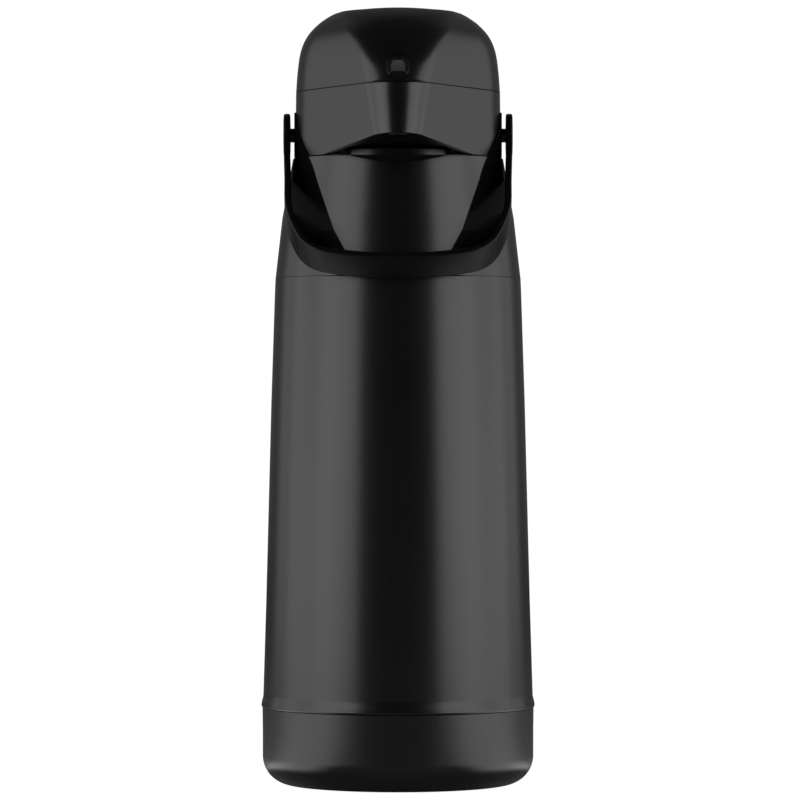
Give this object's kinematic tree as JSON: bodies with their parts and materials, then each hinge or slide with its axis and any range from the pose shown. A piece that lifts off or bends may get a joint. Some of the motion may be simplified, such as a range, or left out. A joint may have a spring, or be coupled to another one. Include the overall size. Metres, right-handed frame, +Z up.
{
  "type": "airpot",
  "caption": "Tall round pump airpot with a beaked pouring head, hinged lid, push-button pump and folding bail.",
  "frame": {"origin": "on the body's axis, in the plane of the feet", "axes": "+Z up along the body's axis, -Y towards the beak (front), +X to the right seen from the front"},
  "size_m": [0.1332, 0.1559, 0.3776],
  "materials": {
    "black_plastic": "satin gloss",
    "rubber": "matt",
    "steel": "drawn",
    "silvered_glass": "silvered",
    "inner_plastic": "fine satin"
  },
  "bodies": {
    "root": {"base_cup": "black_plastic", "foot_pads": "rubber", "body_shell": "black_plastic", "collar": "black_plastic", "pivot_pins": "black_plastic", "head_shell": "black_plastic", "hinge_pin": "steel", "liner_outer_wall": "silvered_glass", "liner_inner_wall": "silvered_glass", "liner_cushion": "rubber", "liner_tip_cup": "inner_plastic", "neck_gasket": "rubber", "neck_ring": "inner_plastic", "dip_tube": "inner_plastic", "pour_elbow": "inner_plastic", "pour_tube": "inner_plastic", "tube_seal": "rubber", "spout_nozzle": "inner_plastic"},
    "bail": {"bail_handle": "black_plastic"},
    "lid": {"lid_shell": "black_plastic", "lid_floor": "inner_plastic", "lid_gasket": "rubber", "lid_screws": "steel", "air_valve": "rubber", "bellows": "rubber", "return_spring": "steel", "latch_spring": "steel"},
    "pump": {"plunger": "inner_plastic"},
    "button": {"push_button": "black_plastic"},
    "latch": {"latch_key": "black_plastic"}
  },
  "joints": [
    {"name": "bail_swing", "type": "hinge", "parent": "root", "child": "bail", "pos_m": [0, 0, 0.3157], "axis": [-1, 0, 0], "range_deg": [0, 268]},
    {"name": "lid_open", "type": "hinge", "parent": "root", "child": "lid", "pos_m": [0, 0.0542, 0.3362], "axis": [-1, 0, 0], "range_deg": [0, 85]},
    {"name": "pump_press", "type": "slide", "parent": "lid", "child": "pump", "axis": [0, 0, -1], "range_m": [0, 0.016], "stiffness_N_per_m": 400, "springref_m": -0.005, "deforming": ["bellows", "return_spring"]},
    {"name": "lock_turn", "type": "hinge", "parent": "pump", "child": "button", "pos_m": [0, 0, 0.37], "axis": [0, 0, 1], "range_deg": [0, 60]},
    {"name": "latch_press", "type": "slide", "parent": "lid", "child": "latch", "axis": [0, 1, 0], "range_m": [0, 0.0025], "stiffness_N_per_m": 300, "springref_m": -0.001}
  ]
}
